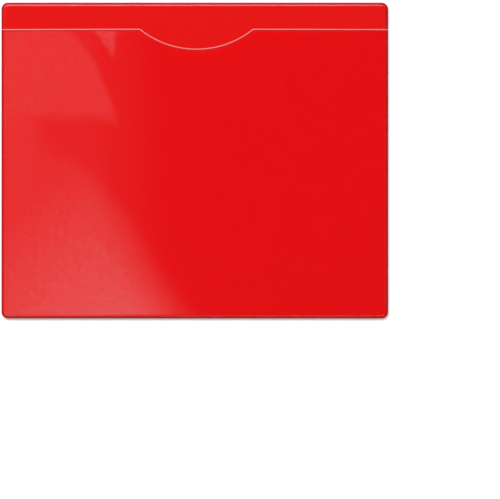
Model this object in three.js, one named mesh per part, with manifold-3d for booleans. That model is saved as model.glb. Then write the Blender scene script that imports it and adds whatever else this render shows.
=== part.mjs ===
// Magnetic document pocket: a red vinyl back sheet with a clear vinyl film welded to its front
// along the left, bottom and right, open along the top, and two flexible magnet strips stuck to
// its rear. A bare band of the back sheet stands above the mouth, and a shallow thumb notch is
// cut into the film's top edge. It takes a letter sheet on its long side, 279.4 x 215.9 mm.
//
// Millimetres, +Z up, +X to the right as the reader sees it, +Y away from the reader. The origin
// is the middle of the upper magnet strip's rear face. The steel surface that the strips grip is
// the plane y = 0, and the whole pocket lies on the reader's side of it.

import * as THREE from 'three';
import { mergeVertices } from 'three/addons/utils/BufferGeometryUtils.js';
import Module from 'manifold-3d';

const wasm = await Module();
wasm.setup();

// Outline of the back sheet
const pocketWidth = 295.3;
const pocketHeight = 241.3;
const cornerRadius = 5;

// The two sheets
const backThickness = 0.5;
const filmThickness = 0.25;
const rearEdgeRound = 0.125;

// The mouth: a bare band above it, and the thumb notch, an arc of a circle, in the film's edge
const bandHeight = 20.3;
const notchWidth = 86.1;
const notchDepth = 15.2;
const notchOffset = 1.4;

// The weld: a flat margin where the film lies on the back sheet, with a shallow groove along it
const weldMargin = 2.7;
const grooveWidth = 1.7;
const grooveDepth = 0.125;

// The bow: how far the film stands off the back sheet at the middle of the mouth, and how full
// its curve is from side to side, where 2 is a parabola
const mouthBow = 8;
const bowFullness = 2.4;

// Magnet strips and the adhesive that holds them
const magnetHeight = 12.7;
const magnetThickness = 1.5;
const magnetChamfer = 0.2;
const magnetSideMargin = 4;
const magnetEdgeMargin = 7.5;
const adhesiveThickness = 0.125;
const adhesiveInset = 0.4;

// How finely the curves are divided
const cornerSteps = 8;
const edgeSteps = 3;
const grooveSteps = 6;
const notchSteps = 36;
const bowStepsAcross = 36;
const bowStepsUp = 20;

// Blanks and cutters reach this far past what they trim
const overcut = 1;

// Levels along Y, from the steel surface towards the reader
const magnetFrontY = -magnetThickness;
const backRearY = magnetFrontY - adhesiveThickness;
const weldY = backRearY - backThickness;

// Heights in the envelope's own frame, which starts at its bottom edge
const halfWidth = pocketWidth / 2;
const mouthHeight = pocketHeight - bandHeight;
const magnetEdgeHeight = magnetEdgeMargin + magnetHeight / 2;
const upperMagnetHeight = pocketHeight - magnetEdgeHeight;

// The inside of the pouch, between the welds
const pouchHalfWidth = halfWidth - weldMargin;
const pouchDepth = mouthHeight - weldMargin;

const redVinyl = new THREE.MeshStandardMaterial({ color: 0xe41215, roughness: 0.3 });
const clearVinyl = new THREE.MeshStandardMaterial({
  color: 0xfdf4f4,
  roughness: 0.06,
  transparent: true,
  opacity: 0.25,
});
const magnetRubber = new THREE.MeshStandardMaterial({ color: 0x2f2f2f, roughness: 0.7 });
const clearAdhesive = new THREE.MeshStandardMaterial({ color: 0xddd8cc, roughness: 0.5 });

// Joining and cutting

function solidFrom(geometry) {
  const bare = geometry.clone();
  bare.deleteAttribute('normal');
  bare.deleteAttribute('uv');
  const merged = mergeVertices(bare);
  return new wasm.Manifold(new wasm.Mesh({
    numProp: 3,
    vertProperties: new Float32Array(merged.attributes.position.array),
    triVerts: new Uint32Array(merged.index.array),
  }));
}

function geometryFrom(solid) {
  const { vertProperties, triVerts } = solid.getMesh();
  return geometryOf(vertProperties, triVerts);
}

function geometryOf(positions, triangles) {
  const geometry = new THREE.BufferGeometry();
  geometry.setAttribute('position', new THREE.Float32BufferAttribute(positions, 3));
  geometry.setIndex(new THREE.Uint32BufferAttribute(triangles, 1));
  geometry.computeVertexNormals();
  return geometry;
}

// Curves. Outlines are points of x and height, and run anticlockwise as the reader sees them.

function steps(from, to, count) {
  return Array.from({ length: count + 1 }, (_, k) => from + ((to - from) * k) / count);
}

function arc(centre, radius, startAngle, endAngle, count) {
  return steps(startAngle, endAngle, count).map((angle) => new THREE.Vector2(
    centre.x + radius * Math.cos(angle),
    centre.y + radius * Math.sin(angle),
  ));
}

// A quarter turn round the corner of the outline, this far in from the edge, and never tighter
// than the groove is deep
function cornerArc(right, upper, inset) {
  const radius = Math.max(cornerRadius - inset, grooveDepth);
  const reach = inset + radius;
  const centre = new THREE.Vector2(
    right ? halfWidth - reach : reach - halfWidth,
    upper ? pocketHeight - reach : reach,
  );
  const quarter = Math.PI / 2;
  const firstQuarter = upper ? (right ? 0 : 1) : (right ? 3 : 2);
  return arc(centre, radius, firstQuarter * quarter, (firstQuarter + 1) * quarter, cornerSteps);
}

function sheetOutline(inset) {
  return [
    ...cornerArc(true, false, inset),
    ...cornerArc(true, true, inset),
    ...cornerArc(false, true, inset),
    ...cornerArc(false, false, inset),
  ];
}

// The film's outline: the sheet's, cut off at the mouth, with the thumb notch let into the top
function filmOutline() {
  const notchRadius = (notchWidth ** 2 / 4 + notchDepth ** 2) / (2 * notchDepth);
  const halfAngle = Math.asin(notchWidth / 2 / notchRadius);
  const notchCentre = new THREE.Vector2(notchOffset, mouthHeight - notchDepth + notchRadius);
  const lowest = -Math.PI / 2;
  return [
    ...cornerArc(true, false, 0),
    new THREE.Vector2(halfWidth, mouthHeight),
    ...arc(notchCentre, notchRadius, lowest + halfAngle, lowest - halfAngle, notchSteps),
    new THREE.Vector2(-halfWidth, mouthHeight),
    ...cornerArc(false, false, 0),
  ];
}

// Forms

function atDepth(outline, y) {
  return outline.map((point) => new THREE.Vector3(point.x, y, point.y));
}

// Side faces between loops of equally many points, each loop nearer to the reader than the last
function sideFaces(loopCount, pointCount, isRing) {
  const faces = [];
  for (let level = 0; level < (isRing ? loopCount : loopCount - 1); level += 1) {
    const here = level * pointCount;
    const next = ((level + 1) % loopCount) * pointCount;
    for (let k = 0; k < pointCount; k += 1) {
      const beside = (k + 1) % pointCount;
      faces.push(here + k, here + beside, next + beside);
      faces.push(here + k, next + beside, next + k);
    }
  }
  return faces;
}

function positionsOf(loops) {
  return loops.flat().flatMap((point) => [point.x, point.y, point.z]);
}

// A plate skinned over its loops, from the rear one to the front one, and closed flat at both
function plate(loops) {
  const flat = loops[0].map((point) => new THREE.Vector2(point.x, point.z));
  const cap = THREE.ShapeUtils.triangulateShape(flat, []);
  const lastLoop = (loops.length - 1) * flat.length;
  const faces = sideFaces(loops.length, flat.length, false);
  cap.forEach(([a, b, c]) => {
    faces.push(c, b, a);
    faces.push(lastLoop + a, lastLoop + b, lastLoop + c);
  });
  return geometryOf(positionsOf(loops), faces);
}

// A closed ring, whose loops go once round its own section
function ring(loops) {
  return geometryOf(positionsOf(loops), sideFaces(loops.length, loops[0].length, true));
}

// What presses the weld groove into a face at faceY. Outward is -1 for a face that looks to the
// reader, and 1 for one that looks to the steel.
function grooveCutter(faceY, outward) {
  const grooveInset = weldMargin / 2;
  const innerInset = grooveInset + grooveWidth / 2;
  const outerInset = grooveInset - grooveWidth / 2;
  const section = steps(-1, 1, grooveSteps).map((across) => ({
    inset: grooveInset - (across * grooveWidth) / 2,
    y: faceY - outward * grooveDepth * (1 - across ** 2),
  }));
  section.push({ inset: outerInset, y: faceY + outward * overcut });
  section.push({ inset: innerInset, y: faceY + outward * overcut });
  if (outward > 0) section.reverse();
  return solidFrom(ring(section.map(({ inset, y }) => atDepth(sheetOutline(inset), y))));
}

// How far the film stands off the back sheet: nothing at the welds, most in mid mouth
function standOff(x, height) {
  const aside = Math.min(Math.abs(x) / pouchHalfWidth, 1);
  const up = THREE.MathUtils.clamp((height - weldMargin) / pouchDepth, 0, 1);
  return mouthBow * (1 - aside ** bowFullness) * Math.sin((Math.PI / 2) * up);
}

// The film before it is trimmed: a sheet of even thickness, bowed off the plane y = 0
function filmBlank() {
  const across = steps(-pouchHalfWidth, pouchHalfWidth, bowStepsAcross);
  const columns = [-halfWidth - overcut, ...across, halfWidth + overcut];
  const rows = [-overcut, ...steps(weldMargin, mouthHeight, bowStepsUp), mouthHeight + overcut];
  const sides = [0, -filmThickness].map((faceY) => columns.flatMap((x) => rows.map(
    (height) => new THREE.Vector3(x, faceY - standOff(x, height), height),
  )));
  const at = (side, column, row) => (side * columns.length + column) * rows.length + row;
  const faces = [];
  const quad = (a, b, c, d) => faces.push(a, b, c, a, c, d);
  const lastColumn = columns.length - 1;
  const lastRow = rows.length - 1;
  for (let i = 0; i < lastColumn; i += 1) {
    for (let j = 0; j < lastRow; j += 1) {
      quad(at(0, i, j), at(0, i, j + 1), at(0, i + 1, j + 1), at(0, i + 1, j));
      quad(at(1, i, j), at(1, i + 1, j), at(1, i + 1, j + 1), at(1, i, j + 1));
    }
    quad(at(0, i, 0), at(0, i + 1, 0), at(1, i + 1, 0), at(1, i, 0));
    quad(at(0, i + 1, lastRow), at(0, i, lastRow), at(1, i, lastRow), at(1, i + 1, lastRow));
  }
  for (let j = 0; j < lastRow; j += 1) {
    quad(at(0, lastColumn, j), at(0, lastColumn, j + 1), at(1, lastColumn, j + 1), at(1, lastColumn, j));
    quad(at(0, 0, j + 1), at(0, 0, j), at(1, 0, j), at(1, 0, j + 1));
  }
  return solidFrom(geometryOf(positionsOf(sides), faces));
}

// Sub-parts

// A thick sheet with its rear edge rounded, grooved all round on the rear, and on the front only
// across the bare band, because below the mouth the film carries the groove
function backSheet() {
  const edge = steps(0, Math.PI / 2, edgeSteps).map((angle) => atDepth(
    sheetOutline(rearEdgeRound * (1 - Math.sin(angle))),
    backThickness - rearEdgeRound * (1 - Math.cos(angle)),
  ));
  const blank = solidFrom(plate([...edge, atDepth(sheetOutline(0), 0)]));
  const band = new THREE.BoxGeometry(pocketWidth + 2 * overcut, backThickness, 2 * bandHeight);
  band.translate(0, 0, pocketHeight);
  const bandGroove = grooveCutter(0, -1).intersect(solidFrom(band));
  return geometryFrom(blank.subtract(grooveCutter(backThickness, 1)).subtract(bandGroove));
}

// The bowed blank, trimmed to the pocket's outline and to the mouth, then grooved at the welds
function frontFilm() {
  const outline = filmOutline();
  const farthest = mouthBow + filmThickness + overcut;
  const trimmer = solidFrom(plate([atDepth(outline, overcut), atDepth(outline, -farthest)]));
  return geometryFrom(filmBlank().intersect(trimmer).subtract(grooveCutter(-filmThickness, -1)));
}

// A flexible magnet strip: an extruded bar with its four long edges broken, cut square at its ends
function magnetStrip() {
  const length = pocketWidth - 2 * magnetSideMargin;
  const halfHeight = magnetHeight / 2;
  const halfThickness = magnetThickness / 2;
  const profile = new THREE.Shape([
    [halfHeight, halfThickness - magnetChamfer],
    [halfHeight - magnetChamfer, halfThickness],
    [magnetChamfer - halfHeight, halfThickness],
    [-halfHeight, halfThickness - magnetChamfer],
    [-halfHeight, magnetChamfer - halfThickness],
    [magnetChamfer - halfHeight, -halfThickness],
    [halfHeight - magnetChamfer, -halfThickness],
    [halfHeight, magnetChamfer - halfThickness],
  ].map(([height, depth]) => new THREE.Vector2(height, depth)));
  const geometry = new THREE.ExtrudeGeometry(profile, { depth: length, bevelEnabled: false });
  geometry.translate(0, 0, -length / 2);
  return geometry.rotateY(Math.PI / 2);
}

// The thin layer of adhesive between a strip and the back sheet, kept inside the strip's edges
function stripAdhesive() {
  const inside = magnetChamfer + adhesiveInset;
  return new THREE.BoxGeometry(
    pocketWidth - 2 * (magnetSideMargin + inside),
    adhesiveThickness,
    magnetHeight - 2 * inside,
  );
}

function named(name, geometry, material) {
  const mesh = new THREE.Mesh(geometry, material);
  mesh.name = name;
  return mesh;
}

// Assembly

// The two sheets, in a frame whose y = 0 is the plane where the film lies on the back sheet
const envelope = new THREE.Group();
envelope.position.set(0, weldY, -upperMagnetHeight);
envelope.add(
  named('back_sheet', backSheet(), redVinyl),
  named('front_film', frontFilm(), clearVinyl),
);

function magnet(place, height) {
  const strip = named(`${place}_magnet_strip`, magnetStrip(), magnetRubber);
  strip.position.y = -magnetThickness / 2;
  const adhesive = named(`${place}_strip_adhesive`, stripAdhesive(), clearAdhesive);
  adhesive.position.y = magnetFrontY - adhesiveThickness / 2;
  const group = new THREE.Group();
  group.position.z = height - upperMagnetHeight;
  group.add(strip, adhesive);
  return group;
}

const documentPocket = new THREE.Group();
documentPocket.add(
  envelope,
  magnet('upper', upperMagnetHeight),
  magnet('lower', magnetEdgeHeight),
);

export default documentPocket;
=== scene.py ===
import bpy
import math
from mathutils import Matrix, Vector


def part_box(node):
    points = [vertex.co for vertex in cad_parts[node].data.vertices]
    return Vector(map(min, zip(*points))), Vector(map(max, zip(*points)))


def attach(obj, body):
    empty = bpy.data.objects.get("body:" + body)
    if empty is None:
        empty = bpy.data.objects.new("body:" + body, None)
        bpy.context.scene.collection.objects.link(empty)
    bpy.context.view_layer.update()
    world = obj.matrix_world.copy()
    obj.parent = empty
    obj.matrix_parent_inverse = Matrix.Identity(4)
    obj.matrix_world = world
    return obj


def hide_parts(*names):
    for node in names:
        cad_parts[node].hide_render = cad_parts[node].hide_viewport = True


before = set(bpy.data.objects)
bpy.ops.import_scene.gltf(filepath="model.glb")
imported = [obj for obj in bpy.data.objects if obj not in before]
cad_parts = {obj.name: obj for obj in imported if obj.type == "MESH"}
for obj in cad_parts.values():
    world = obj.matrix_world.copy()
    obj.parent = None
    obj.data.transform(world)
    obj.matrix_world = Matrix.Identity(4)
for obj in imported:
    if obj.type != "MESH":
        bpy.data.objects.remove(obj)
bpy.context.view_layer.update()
print("frame loaded with", len(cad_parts), "nodes")

mm = 0.001
smoothAngle = math.radians(40)  # faces that meet at less than this are shaded as one


# The pocket's own sizes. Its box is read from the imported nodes.

backLow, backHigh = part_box("back_sheet")

pocket = {
    "halfWidth": (backHigh.x - backLow.x) / 2,
    "bottom": backLow.z,
    "top": backHigh.z,
    "mouth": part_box("front_film")[1].z,
    "weldPlane": backLow.y,  # where the film lies on the back sheet
    "rearPlane": backHigh.y,
    "cornerRadius": 5 * mm,
    "weldMargin": 2.7 * mm,
    "notchWidth": 86.1 * mm,
    "notchDepth": 15.2 * mm,
    "notchOffset": 1.4 * mm,
}
pocket["middle"] = (pocket["bottom"] + pocket["top"]) / 2
pocket["halfHeight"] = (pocket["top"] - pocket["bottom"]) / 2
halfNotch = pocket["notchWidth"] / 2
pocket["notchRadius"] = (halfNotch ** 2 + pocket["notchDepth"] ** 2) / (2 * pocket["notchDepth"])
pocket["notchCentre"] = pocket["mouth"] - pocket["notchDepth"] + pocket["notchRadius"]

# The groove that the welding die presses along the rim, its places measured in from the rim
groove = {
    "centre": 1.35 * mm,
    "halfWidth": 0.85 * mm,
    "depth": 0.16 * mm,
    "rings": 8,
}


def rimDistance(x, z):
    # how far a point lies inside the pocket's outline
    sideways = abs(x) - (pocket["halfWidth"] - pocket["cornerRadius"])
    upwards = abs(z - pocket["middle"]) - (pocket["halfHeight"] - pocket["cornerRadius"])
    past = math.hypot(max(sideways, 0), max(upwards, 0))
    return pocket["cornerRadius"] - past - min(max(sideways, upwards), 0)


def mouthDistance(x, z):
    # how far a point lies below the film's cut edge
    fromNotch = math.hypot(x - pocket["notchOffset"], z - pocket["notchCentre"])
    return min(pocket["mouth"] - z, fromNotch - pocket["notchRadius"])


def grooveDepth(distance):
    across = (distance - groove["centre"]) / groove["halfWidth"]
    return groove["depth"] * max(0, 1 - across ** 2) ** 1.5


# Shader values, which add Math nodes when they meet in an expression

class Wire:
    def __init__(self, paint, socket):
        self.paint = paint
        self.socket = socket

    def __add__(self, other):
        return self.paint.maths("ADD", self, other)

    def __sub__(self, other):
        return self.paint.maths("SUBTRACT", self, other)

    def __rsub__(self, other):
        return self.paint.maths("SUBTRACT", other, self)

    def __mul__(self, other):
        return self.paint.maths("MULTIPLY", self, other)

    def __truediv__(self, other):
        return self.paint.maths("DIVIDE", self, other)

    def __pow__(self, power):
        return self.paint.maths("POWER", self, power)

    def __abs__(self):
        return self.paint.maths("ABSOLUTE", self)

    __radd__ = __add__
    __rmul__ = __mul__

    def atLeast(self, other):
        return self.paint.maths("MAXIMUM", self, other)

    def atMost(self, other):
        return self.paint.maths("MINIMUM", self, other)

    def rise(self, start, end):
        # 0 before start, 1 after end, smooth between
        ramp = self.paint.node(
            "ShaderNodeMapRange",
            {"interpolation_type": "SMOOTHSTEP"},
            {"Value": self, "From Min": start, "From Max": end},
        )
        return Wire(self.paint, ramp.outputs["Result"])


class Paint:
    # one material, or the world, and its nodes
    def __init__(self, owner):
        owner.use_nodes = True
        self.owner = owner
        self.tree = owner.node_tree
        self.tree.nodes.clear()

    def node(self, kind, settings=None, values=None):
        made = self.tree.nodes.new(kind)
        for setting, value in (settings or {}).items():
            setattr(made, setting, value)
        for socket, value in (values or {}).items():
            self.join(made.inputs[socket], value)
        return made

    def join(self, socket, value):
        if isinstance(value, Wire):
            self.tree.links.new(value.socket, socket)
        elif isinstance(value, bpy.types.NodeSocket):
            self.tree.links.new(value, socket)
        else:
            socket.default_value = value

    def maths(self, operation, *values):
        made = self.node("ShaderNodeMath", {"operation": operation})
        for socket, value in zip(made.inputs, values):
            self.join(socket, value)
        return Wire(self, made.outputs[0])

    def place(self):
        # the point's place in the part's own frame, in metres
        return self.node("ShaderNodeTexCoord").outputs["Object"]

    def axes(self):
        split = self.node("ShaderNodeSeparateXYZ", None, {0: self.place()})
        return [Wire(self, split.outputs[axis]) for axis in "XYZ"]

    def noise(self, scale, detail=2.0, stretch=(1, 1, 1), roughness=0.5):
        # grain that is scale to the metre, finer or coarser along an axis by stretch
        spread = self.node("ShaderNodeMapping", None, {"Vector": self.place(), "Scale": stretch})
        grain = self.node(
            "ShaderNodeTexNoise",
            None,
            {"Vector": spread.outputs[0], "Scale": scale, "Detail": detail, "Roughness": roughness},
        )
        return Wire(self, grain.outputs[0])

    def rays(self, *kinds):
        # 1 for the named kinds of ray and 0 for the rest
        path = self.node("ShaderNodeLightPath")
        named = [Wire(self, path.outputs[f"Is {kind} Ray"]) for kind in kinds]
        total = named[0]
        for ray in named[1:]:
            total = total.atLeast(ray)
        return total

    def colour(self, factor, first, second):
        made = self.node("ShaderNodeMix", {"data_type": "RGBA"}, {"Factor": factor})
        self.join(made.inputs[6], opaque(first))
        self.join(made.inputs[7], opaque(second))
        return made.outputs[2]

    def bump(self, height, distance):
        return self.node("ShaderNodeBump", None, {"Height": height, "Distance": distance}).outputs[0]

    def surface(self, values):
        return self.node("ShaderNodeBsdfPrincipled", None, values).outputs[0]

    def clear(self):
        return self.node("ShaderNodeBsdfTransparent").outputs[0]

    def glow(self, values):
        return self.node("ShaderNodeEmission", None, values).outputs[0]

    def mixed(self, factor, first, second):
        return self.node("ShaderNodeMixShader", None, {0: factor, 1: first, 2: second}).outputs[0]

    def output(self, shader):
        kind = "World" if isinstance(self.owner, bpy.types.World) else "Material"
        self.node(f"ShaderNodeOutput{kind}", None, {"Surface": shader})
        return self.owner


def opaque(colour):
    return (*colour, 1.0) if isinstance(colour, tuple) and len(colour) == 3 else colour


def newPaint(name):
    return Paint(bpy.data.materials.new(name))


def rimMask(x, z):
    # rimDistance again, as nodes
    sideways = abs(x) - (pocket["halfWidth"] - pocket["cornerRadius"])
    upwards = abs(z - pocket["middle"]) - (pocket["halfHeight"] - pocket["cornerRadius"])
    past = (sideways.atLeast(0) ** 2 + upwards.atLeast(0) ** 2) ** 0.5
    return pocket["cornerRadius"] - past - sideways.atLeast(upwards).atMost(0)


def mouthMask(x, z):
    # mouthDistance again, as nodes
    fromNotch = ((x - pocket["notchOffset"]) ** 2 + (z - pocket["notchCentre"]) ** 2) ** 0.5
    return (pocket["mouth"] - z).atMost(fromNotch - pocket["notchRadius"])


# Finishes. A pair of lengths is where a change starts and where it is complete.

redVinyl = {
    "covered": (0.776, 0.0036, 0.0052),  # the front, under the film
    "bare": (0.700, 0.0062, 0.0062),  # the front, above the film, painted darker: painted shade that offsets the light the film keeps off the covered part
    "bareBlend": (-0.3 * mm, 0.3 * mm),
    "rear": (0.690, 0.0012, 0.0026),
    "ghostThroughLight": (0.720, 0.0045, 0.0042),  # the rear of the part that the film leaves bare, painted lighter: painted light shining through the sheet
    "rearDepth": (0.2 * mm, 0.3 * mm),  # behind the front face
    "fusedAndShaded": (0.460, 0.0035, 0.0040),  # the weld along the rim: partly its own darker tone, partly painted shade
    "fusedAndShadedBlend": (1.1 * mm, 2.2 * mm),
    # painted shade: a dark line along the very rim, where the thin edge gets little light
    "cutEdgeShade": (0.180, 0.0150, 0.0150),
    "cutEdgeShadeBlend": (0.15 * mm, 0.70 * mm),
    "lipRise": (1.3 * mm, 1.9 * mm),  # the shiny inner bank of the groove
    "lipFall": (2.3 * mm, 2.8 * mm),
    "lipCoat": 0.22,
    "topLipPaintedSheen": 0.38,  # painted sheen: more coat on the bank along the top edge only, where the light falls
    "topLipSheenBlend": (-6 * mm, -3 * mm),  # from the top edge
    "lipRoughness": 0.2,
    "roughness": 0.22,
    "roughnessSpread": 0.06,
    "mottle": 60.0,
    "specular": 0.10,
    "grain": 1500.0,
    "grainHeight": 0.004 * mm,
    "pressedWidth": 2.8 * mm,  # the die thins the sheet towards its rim, by this slope
    "pressedSlope": 0.33,
}


def redVinylPaint():
    paint = newPaint("redVinyl")
    x, y, z = paint.axes()
    rim = rimMask(x, z)
    # where the film leaves the sheet bare: its front gets painted shade, its rear painted light
    bare = 1 - mouthMask(x, z).rise(*redVinyl["bareBlend"])
    front = paint.colour(bare, redVinyl["covered"], redVinyl["bare"])
    rear = paint.colour(bare, redVinyl["rear"], redVinyl["ghostThroughLight"])
    behind = y.rise(*(pocket["weldPlane"] + depth for depth in redVinyl["rearDepth"]))
    sheet = paint.colour(behind, front, rear)
    # darker weld band along the rim, partly its own tone and partly painted shade
    fusedAndShaded = 1 - rim.rise(*redVinyl["fusedAndShadedBlend"])
    welded = paint.colour(fusedAndShaded, sheet, redVinyl["fusedAndShaded"])
    # painted shade along the very rim
    cutEdgeShadeMask = 1 - rim.rise(*redVinyl["cutEdgeShadeBlend"])
    lip = rim.rise(*redVinyl["lipRise"]) * (1 - rim.rise(*redVinyl["lipFall"]))
    # painted sheen on the top edge's bank
    alongTopSheen = z.rise(*(pocket["top"] + below for below in redVinyl["topLipSheenBlend"]))
    grain = paint.noise(redVinyl["grain"], 3.0) * redVinyl["grainHeight"]
    pressed = rim.atMost(redVinyl["pressedWidth"]) * redVinyl["pressedSlope"]
    mottle = paint.noise(redVinyl["mottle"]) - 0.5
    body = paint.surface({
        "Base Color": paint.colour(cutEdgeShadeMask, welded, redVinyl["cutEdgeShade"]),
        "Roughness": redVinyl["roughness"] + mottle * redVinyl["roughnessSpread"],
        "Specular IOR Level": redVinyl["specular"],
        "Coat Weight": lip * (alongTopSheen * redVinyl["topLipPaintedSheen"] + redVinyl["lipCoat"]),
        "Coat Roughness": redVinyl["lipRoughness"],
        "Normal": paint.bump(grain + pressed, 1.0),  # heights in metres, as they are
    })
    return paint.output(body)


clearFilm = {
    "reflectance": 0.04,  # of one face, looked at squarely
    "grazingPower": 5,
    "roughness": 0.045,
    "speckle": 700.0,
    "speckleHeight": 0.002 * mm,
    "mottle": 300.0,
    "mottleRoughness": 0.65,
    "mottleRange": (0.35, 0.65),
    "specks": 160.0,
    "speckSize": (0.05, 0.18),  # as a share of the specks' spacing
    "evenGloss": 0.80,
    "mottleGloss": 0.35,
    "speckGloss": 0.6,
    "weldBlend": (1.9 * mm, 2.9 * mm),
    "weldLoss": 0.75,  # the share of the gloss that the weld takes away
    "frostAndHighlight": (1.0, 0.31, 0.31),  # the cut edge along the mouth: partly a frosted cut, partly a painted highlight
    "frostAndHighlightShare": 0.42,
    "frostAndHighlightRoughness": 0.4,
    "frostAndHighlightBlend": (0.60 * mm, 0.80 * mm),
    "shade": (0.16, 0.0, 0.0),  # the dark line below it
    "shadeShare": 0.24,
    "shadeRoughness": 0.6,
    "shadeRise": (0.72 * mm, 0.88 * mm),
    "shadeFall": (1.52 * mm, 2.16 * mm),
}


def clearFilmGloss(paint, x, z):
    # how much the film mirrors: more at a slant, uneven all over, and little along the weld
    facing = paint.node("ShaderNodeLayerWeight", None, {"Blend": 0.5}).outputs["Facing"]
    grazing = Wire(paint, facing) ** clearFilm["grazingPower"]
    gloss = clearFilm["reflectance"] + grazing * (1 - clearFilm["reflectance"])
    mottle = paint.noise(clearFilm["mottle"], 3.0, roughness=clearFilm["mottleRoughness"])
    mottle = mottle.rise(*clearFilm["mottleRange"])
    dots = paint.node(
        "ShaderNodeTexVoronoi", None, {"Vector": paint.place(), "Scale": clearFilm["specks"]}
    )
    specks = 1 - Wire(paint, dots.outputs["Distance"]).rise(*clearFilm["speckSize"])
    uneven = clearFilm["evenGloss"] + mottle * clearFilm["mottleGloss"] + specks * clearFilm["speckGloss"]
    welded = 1 - rimMask(x, z).rise(*clearFilm["weldBlend"])
    return gloss * uneven * (1 - welded * clearFilm["weldLoss"])


def clearFilmPaint():
    paint = newPaint("clearFilm")
    x, y, z = paint.axes()
    shine = paint.surface({
        "Base Color": (1.0, 1.0, 1.0, 1.0),
        "Metallic": 1.0,
        "Roughness": clearFilm["roughness"],
        "Normal": paint.bump(paint.noise(clearFilm["speckle"]), clearFilm["speckleHeight"]),
    })
    film = paint.mixed(clearFilmGloss(paint, x, z), paint.clear(), shine)
    frostAndHighlight = paint.surface({
        "Base Color": opaque(clearFilm["frostAndHighlight"]),
        "Roughness": clearFilm["frostAndHighlightRoughness"],
    })
    shade = paint.surface({
        "Base Color": opaque(clearFilm["shade"]),
        "Roughness": clearFilm["shadeRoughness"],
    })
    edge = mouthMask(x, z)
    shaded = edge.rise(*clearFilm["shadeRise"]) * (1 - edge.rise(*clearFilm["shadeFall"]))
    # the bright line along the mouth, partly frost and partly painted highlight
    frostedAndHighlit = 1 - edge.rise(*clearFilm["frostAndHighlightBlend"])
    # the clear edge lets the light through, so it throws no dark line on the sheet
    shown = 1 - paint.rays("Shadow")
    darker = paint.mixed(shaded * shown * clearFilm["shadeShare"], film, shade)
    return paint.output(paint.mixed(frostedAndHighlit * shown * clearFilm["frostAndHighlightShare"], darker, frostAndHighlight))


magnetRubber = {
    "dark": (0.0060, 0.0060, 0.0062),
    "light": (0.0130, 0.0130, 0.0133),
    "roughness": 0.62,
    "roughnessSpread": 0.15,
    "specular": 0.18,
    "streaks": 900.0,
    "streakStretch": (0.012, 1, 1),  # long along the strip, as it was extruded
    "grains": 2600.0,
    "colourShares": (0.6, 0.4),  # of grains and streaks
    "heightShares": (0.3, 0.7),
    "height": 0.02 * mm,
}


def magnetRubberPaint():
    paint = newPaint("magnetRubber")
    streaks = paint.noise(magnetRubber["streaks"], stretch=magnetRubber["streakStretch"])
    grains = paint.noise(magnetRubber["grains"])
    grainColour, streakColour = magnetRubber["colourShares"]
    grainHeight, streakHeight = magnetRubber["heightShares"]
    tone = grains * grainColour + streaks * streakColour
    relief = streaks * streakHeight + grains * grainHeight
    body = paint.surface({
        "Base Color": paint.colour(tone, magnetRubber["dark"], magnetRubber["light"]),
        "Roughness": magnetRubber["roughness"] + (streaks - 0.5) * magnetRubber["roughnessSpread"],
        "Specular IOR Level": magnetRubber["specular"],
        "Normal": paint.bump(relief, magnetRubber["height"]),
    })
    return paint.output(body)


clearAdhesive = {
    "dark": (0.62, 0.58, 0.50),
    "light": (0.75, 0.72, 0.64),
    "clouds": 400.0,
    "roughness": 0.45,
    "roughnessSpread": 0.1,
}


def adhesivePaint():
    paint = newPaint("clearAdhesive")
    cloud = paint.noise(clearAdhesive["clouds"])
    body = paint.surface({
        "Base Color": paint.colour(cloud, clearAdhesive["dark"], clearAdhesive["light"]),
        "Roughness": clearAdhesive["roughness"] + cloud * clearAdhesive["roughnessSpread"],
    })
    return paint.output(body)


# Modelling helpers

def startFresh():
    if bpy.context.object and bpy.context.object.mode != "OBJECT":
        bpy.ops.object.mode_set(mode="OBJECT")
    bpy.ops.object.select_all(action="DESELECT")


def applyPlace():
    bpy.ops.object.transform_apply(location=True, rotation=True, scale=True)


def addModifier(piece, kind, **settings):
    modifier = piece.modifiers.new(kind.title(), kind)
    for setting, value in settings.items():
        setattr(modifier, setting, value)
    bpy.ops.object.modifier_apply(modifier=modifier.name)


def finishPiece(piece, name, material, node):
    # every piece stands for one node and hangs on the part's only body
    bpy.ops.object.shade_smooth_by_angle(angle=smoothAngle)
    piece.name = name
    piece.data.name = name
    piece.data.materials.clear()
    piece.data.materials.append(material)
    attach(piece, "root")
    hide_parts(node)


def pickFace(piece, outward):
    # leaves only the large flat face that looks along outward selected, in edit mode
    bpy.ops.object.mode_set(mode="EDIT")
    bpy.ops.mesh.select_mode(type="FACE")
    bpy.ops.mesh.select_all(action="DESELECT")
    bpy.ops.object.mode_set(mode="OBJECT")
    faces = [face for face in piece.data.polygons if face.normal.dot(outward) > 0.99]
    max(faces, key=lambda face: face.area).select = True
    bpy.ops.object.mode_set(mode="EDIT")


# The red back sheet

backSheet = {
    "cornerCuts": 12,
    "edgeRound": 0.12 * mm,
    "edgeCuts": 3,
    "edgeAngle": math.radians(60),
    "supportRing": 0.15 * mm,  # a narrow ring inside the groove, so that the sheet stays flat
}


def pressGroove():
    # insets the picked face ring by ring, sinking and lifting it to leave the groove
    start = groove["centre"] - groove["halfWidth"]
    step = 2 * groove["halfWidth"] / groove["rings"]
    bpy.ops.mesh.inset(thickness=start, depth=0)
    for ring in range(groove["rings"]):
        before = grooveDepth(start + step * ring)
        after = grooveDepth(start + step * (ring + 1))
        bpy.ops.mesh.inset(thickness=step, depth=before - after)
    bpy.ops.mesh.inset(thickness=backSheet["supportRing"], depth=0)


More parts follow.
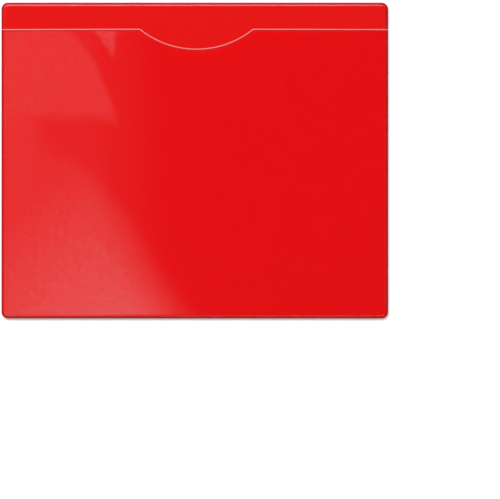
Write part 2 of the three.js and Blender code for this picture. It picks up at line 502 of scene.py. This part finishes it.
def makeBackSheet():
    startFresh()
    thickness = pocket["rearPlane"] - pocket["weldPlane"]
    bpy.ops.mesh.primitive_plane_add(size=2, rotation=(math.pi / 2, 0, 0))
    sheet = bpy.context.object
    sheet.scale = (pocket["halfWidth"], pocket["halfHeight"], 1)
    sheet.location = (0, pocket["rearPlane"], pocket["middle"])
    applyPlace()
    bpy.ops.object.mode_set(mode="EDIT")
    bpy.ops.mesh.select_all(action="SELECT")
    bpy.ops.mesh.bevel(
        offset=pocket["cornerRadius"], segments=backSheet["cornerCuts"], affect="VERTICES"
    )
    bpy.ops.mesh.select_all(action="SELECT")
    bpy.ops.mesh.extrude_region_move(TRANSFORM_OT_translate={"value": (0, -thickness, 0)})
    bpy.ops.mesh.select_all(action="SELECT")
    bpy.ops.mesh.normals_make_consistent(inside=False)
    bpy.ops.object.mode_set(mode="OBJECT")
    addModifier(
        sheet, "BEVEL", width=backSheet["edgeRound"], segments=backSheet["edgeCuts"],
        limit_method="ANGLE", angle_limit=backSheet["edgeAngle"],
    )
    for outward in (Vector((0, -1, 0)), Vector((0, 1, 0))):
        pickFace(sheet, outward)
        pressGroove()
        bpy.ops.object.mode_set(mode="OBJECT")
    finishPiece(sheet, "redBackSheet", redVinylPaint(), "back_sheet")


# The clear front film

film = {
    "thickness": 0.22 * mm,
    "weldGap": 0.03 * mm,
    "bow": 8.0 * mm,
    "fullness": 2.4,
    "curlWidth": 1.6 * mm,
    "curlDepth": 0.05 * mm,
    "curlStart": 1.0 * mm,  # the stand-off at which the lip's curl is complete
    "weldSupport": 0.4 * mm,  # a first narrow row beside the weld, so that the bend stays crisp
    "weldCuts": 12,
    "sideCuts": 30,
    "notchCuts": 48,
    "heightCuts": 60,
    "curlCuts": 8,
}


def spaced(start, end, count):
    # count even places from start, without end itself
    return [start + (end - start) * k / count for k in range(count)]


def filmStandOff(x, z):
    # how far the film bows off the back sheet, as in the solid
    halfPouch = pocket["halfWidth"] - pocket["weldMargin"]
    floor = pocket["bottom"] + pocket["weldMargin"]
    aside = min(abs(x) / halfPouch, 1)
    up = min(max((z - floor) / (pocket["mouth"] - floor), 0), 1)
    return film["bow"] * (1 - aside ** film["fullness"]) * math.sin(math.pi / 2 * up)


def filmFrontY(x, z):
    # the film's front face: grooved in the weld, bowed above it, curled back a little at its lip
    flat = pocket["weldPlane"] - film["weldGap"] - film["thickness"]
    standOff = filmStandOff(x, z)
    curl = max(0, 1 - max(mouthDistance(x, z), 0) / film["curlWidth"]) ** 2
    pouch = max(0, min(standOff / film["curlStart"], 1))
    return flat - standOff + grooveDepth(rimDistance(x, z)) + film["curlDepth"] * curl * pouch


def filmColumns():
    half = pocket["halfWidth"]
    pouch = half - pocket["weldMargin"]
    bowed = pouch - film["weldSupport"]
    left = pocket["notchOffset"] - halfNotch
    right = pocket["notchOffset"] + halfNotch
    return [
        *spaced(-half, -pouch, film["weldCuts"]),
        -pouch,
        *spaced(-bowed, left, film["sideCuts"]),
        *spaced(left, right, film["notchCuts"]),
        *spaced(right, bowed, film["sideCuts"]),
        bowed,
        *spaced(pouch, half, film["weldCuts"]),
        half,
    ]


def filmHeights(x):
    # the heights of one column's points, from the rounded bottom edge to the mouth or the notch
    radius = pocket["cornerRadius"]
    past = max(0, abs(x) - (pocket["halfWidth"] - radius))
    low = pocket["bottom"] + radius - math.sqrt(max(0, radius ** 2 - past ** 2))
    aside = x - pocket["notchOffset"]
    high = pocket["mouth"]
    if abs(aside) < halfNotch:
        high = pocket["notchCentre"] - math.sqrt(pocket["notchRadius"] ** 2 - aside ** 2)
    welded = low + pocket["weldMargin"]
    curled = high - film["curlWidth"]
    return [
        *spaced(low, welded, film["weldCuts"]),
        welded,
        *spaced(welded + film["weldSupport"], curled, film["heightCuts"]),
        *spaced(curled, high, film["curlCuts"]),
        high,
    ]


def makeFilm():
    # a grid with a point for each column and height, bowed to its front face, then given its wall
    startFresh()
    columns = filmColumns()
    heights = [filmHeights(x) for x in columns]
    across = len(columns) - 1
    upward = len(heights[0]) - 1
    bpy.ops.mesh.primitive_grid_add(x_subdivisions=across, y_subdivisions=upward, size=1)
    sheet = bpy.context.object
    for vertex in sheet.data.vertices:
        column = round((vertex.co.x + 0.5) * across)
        row = round((vertex.co.y + 0.5) * upward)
        x = columns[column]
        z = heights[column][row]
        vertex.co = (x, filmFrontY(x, z), z)
    addModifier(sheet, "SOLIDIFY", thickness=film["thickness"], offset=-1)
    finishPiece(sheet, "clearFrontFilm", clearFilmPaint(), "front_film")


# The magnet strips, in the box that each node has

magnetStrip = {"edgeRound": 0.25 * mm, "edgeCuts": 3}


def makeMagnet(place, material):
    startFresh()
    node = f"{place}_magnet_strip"
    low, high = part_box(node)
    bpy.ops.mesh.primitive_cube_add(size=1, location=(low + high) / 2)
    strip = bpy.context.object
    strip.scale = high - low
    applyPlace()
    addModifier(strip, "BEVEL", width=magnetStrip["edgeRound"], segments=magnetStrip["edgeCuts"])
    finishPiece(strip, f"{place}MagnetStrip", material, node)


print("modelling the sheets")
makeBackSheet()
makeFilm()
print("modelling the magnet strips")
rubber = magnetRubberPaint()
glue = adhesivePaint()
for place in ("upper", "lower"):
    makeMagnet(place, rubber)
    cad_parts[f"{place}_strip_adhesive"].material_slots[0].material = glue


# Camera: square on to the pocket, through a long lens

camera = {
    "lens": 400.0,
    "sensorWidth": 36.0,
    "metresPerPixel": 0.7638 * mm,
    "imageWidth": 500,
    "imageHeight": 499,
    "pocketCentre": (194.8, 160.55),  # where the photograph has it, in pixels
}


def pictureDistance():
    pictureWidth = camera["imageWidth"] * camera["metresPerPixel"]
    return camera["lens"] * pictureWidth / camera["sensorWidth"]


def eyePlace():
    scale = camera["metresPerPixel"]
    pixelX, pixelY = camera["pocketCentre"]
    return Vector((
        (camera["imageWidth"] / 2 - pixelX) * scale,
        pocket["weldPlane"] - pictureDistance(),
        pocket["middle"] - (camera["imageHeight"] / 2 - pixelY) * scale,
    ))


def makeCamera():
    data = bpy.data.cameras.new("camera")
    eye = bpy.data.objects.new("camera", data)
    bpy.context.scene.collection.objects.link(eye)
    data.lens = camera["lens"]
    data.sensor_width = camera["sensorWidth"]
    data.clip_end = 3 * pictureDistance()
    eye.location = eyePlace()
    eye.rotation_euler = (math.pi / 2, 0, 0)
    bpy.context.scene.camera = eye


# Studio: a pale floor and a pale board that the pocket hangs on, white all round, two softboxes,
# and a card that only the film mirrors

studio = {
    "ambient": 0.40,
    "board": {"paleness": 0.90, "glow": 0.18},
    "floor": {"paleness": 0.45, "glow": 0.65},
    "boardPlane": 0.1 * mm,  # just behind the magnets
    "floorDrop": 0.15,
    "extent": 6.0,
}
softbox = {
    "front": (-1.15, -3.1, 2.1),
    "rear": (1.15, 3.1, 2.1),
    "size": (3.4, 0.8),
    "power": 144.0,
}


def makeWorld():
    world = bpy.data.worlds.new("studio")
    bpy.context.scene.world = world
    paint = Paint(world)
    seen = paint.rays("Camera", "Glossy", "Transmission")
    strength = seen * (1 - studio["ambient"]) + studio["ambient"]
    back = paint.node("ShaderNodeBackground", None, {"Color": (1, 1, 1, 1), "Strength": strength})
    paint.output(back.outputs[0])


def palePaint(name, oneSided):
    # matt, with a glow that only camera and mirror-like rays see
    paint = newPaint(name)
    pale = studio[name]["paleness"]
    matt = paint.node("ShaderNodeBsdfDiffuse", None, {"Color": (pale, pale, pale, 1)}).outputs[0]
    glow = paint.glow({"Strength": studio[name]["glow"]})
    lit = paint.node("ShaderNodeAddShader", None, {0: matt, 1: glow}).outputs[0]
    shown = paint.mixed(paint.rays("Camera", "Glossy", "Transmission"), matt, lit)
    if oneSided:
        rear = paint.node("ShaderNodeNewGeometry").outputs["Backfacing"]
        shown = paint.mixed(rear, shown, paint.clear())
    return paint.output(shown)


def makeFloor():
    startFresh()
    low = pocket["bottom"] - studio["floorDrop"]
    bpy.ops.mesh.primitive_plane_add(size=studio["extent"], location=(0, 0, low))
    floor = bpy.context.object
    floor.name = "floor"
    floor.data.materials.append(palePaint("floor", False))


def makeBoard():
    # the board behind the magnets: its rear is clear, so that the pocket's rear can be seen
    startFresh()
    middle = pocket["bottom"] - studio["floorDrop"] + studio["extent"] / 2
    bpy.ops.mesh.primitive_plane_add(
        size=studio["extent"],
        location=(0, studio["boardPlane"], middle),
        rotation=(math.pi / 2, 0, 0),
    )
    board = bpy.context.object
    board.name = "board"
    board.data.materials.append(palePaint("board", True))
    board.visible_diffuse = False
    board.visible_glossy = False
    board.visible_shadow = False
    board.visible_transmission = False


def makeSoftbox(side):
    name = f"{side}Softbox"
    data = bpy.data.lights.new(name, "AREA")
    data.shape = "RECTANGLE"
    data.size, data.size_y = softbox["size"]
    data.energy = softbox["power"]
    lamp = bpy.data.objects.new(name, data)
    bpy.context.scene.collection.objects.link(lamp)
    lamp.location = softbox[side]
    aim = Vector((0, 0, pocket["middle"])) - Vector(softbox[side])
    lamp.rotation_euler = aim.to_track_quat("-Z", "Y").to_euler()


# The card stands between camera and pocket, and only mirror-like reflections see it. It is dark,
# with pale patches where the photograph's film is hazy. A patch is bounded by lines between points
# of the picture, in pixels, and lies to the right of each line as one walks along it. The number
# after a line's two points is how softly it ends, in millimetres on the card.

mirrorCard = {
    "distance": 0.8,
    "reach": (-0.80, 0.70),
    "height": (-0.65, 0.40),
    "fade": 0.25,  # it turns clear towards its borders, so that no hard edge is mirrored
    "sway": 0.014,  # how far the patches' edges wander
    "swayAcross": 14.0,
    "swayUp": 11.0,
    "tint": (0.5, 1.0, 1.0, 1.0),
}

upperPatch = {
    "glow": 0.39,
    "lines": [
        ((68, 30), (80, 42), 6),
        ((80, 42), (97, 64), 6),
        ((97, 64), (112, 104), 6),
        ((112, 122), (8, 126), 24),
    ],
}
trianglePatch = {
    "glow": 0.58,
    "lines": [((93, 28), (115, 28), 4), ((116, 30), (113, 57), 6), ((113, 57), (93, 30), 8)],
}
lowerPatch = {
    "leastGlow": 0.29,
    "glow": 0.335,  # at the first of the fade's two points
    "lowestGlow": 0.855,  # at the second
    "fade": ((60, 190), (60, 312)),
    "lines": [
        ((10, 143), (50, 140), 34),
        ((50, 140), (90, 168), 34),
        ((90, 168), (112, 202), 34),
        ((112, 202), (155, 300), 60),
    ],
}
# faint upright steps of glow that the patches lie over
veils = [
    (0.080, ((138, 30), (138, 300), 90)),
    (0.055, ((94, 30), (94, 300), 40)),
    (0.180, ((19, 30), (19, 300), 45)),
]


def placeOnCard(pixelX, pixelY):
    # the point of the card that the film mirrors to this pixel of the picture
    scale = camera["metresPerPixel"]
    x = (pixelX - camera["pocketCentre"][0]) * scale
    z = pocket["middle"] - (pixelY - camera["pocketCentre"][1]) * scale
    step = 0.5 * mm
    slopeX = (filmStandOff(x + step, z) - filmStandOff(x - step, z)) / (2 * step)
    slopeZ = (filmStandOff(x, z + step) - filmStandOff(x, z - step)) / (2 * step)
    point = Vector((x, pocket["weldPlane"] - filmStandOff(x, z), z))
    away = (point - eyePlace()).reflect(Vector((slopeX, 1, slopeZ)).normalized())
    return point + away * ((-mirrorCard["distance"] - point.y) / away.y)


def pastLine(x, z, first, second, softness):
    # 0 to 1 across the line on the card from first to second
    start = placeOnCard(*first)
    along = placeOnCard(*second) - start
    length = math.hypot(along.x, along.z)
    aside = (x - start.x) * (along.z / length) - (z - start.z) * (along.x / length)
    return aside.rise(-softness * mm / 2, softness * mm / 2)


def patchMask(x, z, lines):
    mask = pastLine(x, z, *lines[0])
    for line in lines[1:]:
        mask = mask.atMost(pastLine(x, z, *line))
    return mask


def withinCard(value, low, high):
    fade = mirrorCard["fade"]
    return value.rise(low, low + fade) * (1 - value.rise(high - fade, high))


def lowerGlow(z):
    # the lower patch grows brighter towards the pocket's bottom
    high, low = (placeOnCard(*point).z for point in lowerPatch["fade"])
    gain = lowerPatch["lowestGlow"] - lowerPatch["glow"]
    return ((high - z) / (high - low) * gain + lowerPatch["glow"]).atLeast(lowerPatch["leastGlow"])


def mirrorPaint():
    paint = newPaint("mirrorCard")
    x, y, z = paint.axes()
    solid = withinCard(x, *mirrorCard["reach"]) * withinCard(z, *mirrorCard["height"])
    x = x + (paint.noise(mirrorCard["swayAcross"]) - 0.5) * mirrorCard["sway"]
    z = z + (paint.noise(mirrorCard["swayUp"]) - 0.5) * mirrorCard["sway"]
    upper = patchMask(x, z, upperPatch["lines"]) * upperPatch["glow"]
    triangle = patchMask(x, z, trianglePatch["lines"]) * trianglePatch["glow"]
    lower = patchMask(x, z, lowerPatch["lines"]) * lowerGlow(z)
    haze = sum(pastLine(x, z, *line) * glow for glow, line in veils)
    strength = haze.atLeast(upper).atLeast(triangle).atLeast(lower)
    glow = paint.glow({"Color": mirrorCard["tint"], "Strength": strength})
    return paint.output(paint.mixed(solid, paint.clear(), glow))


def makeMirrorCard():
    left, right = mirrorCard["reach"]
    low, high = mirrorCard["height"]
    y = -mirrorCard["distance"]
    corners = [(left, y, low), (right, y, low), (right, y, high), (left, y, high)]
    data = bpy.data.meshes.new("mirrorCard")
    data.from_pydata(corners, [], [(0, 1, 2, 3)])
    card = bpy.data.objects.new("mirrorCard", data)
    bpy.context.scene.collection.objects.link(card)
    data.materials.append(mirrorPaint())
    card.visible_camera = False
    card.visible_diffuse = False
    card.visible_shadow = False
    card.visible_transmission = False


print("setting the studio")
makeCamera()
makeWorld()
makeFloor()
makeBoard()
makeSoftbox("front")
makeSoftbox("rear")
makeMirrorCard()

bpy.context.scene.view_settings.view_transform = "Standard"
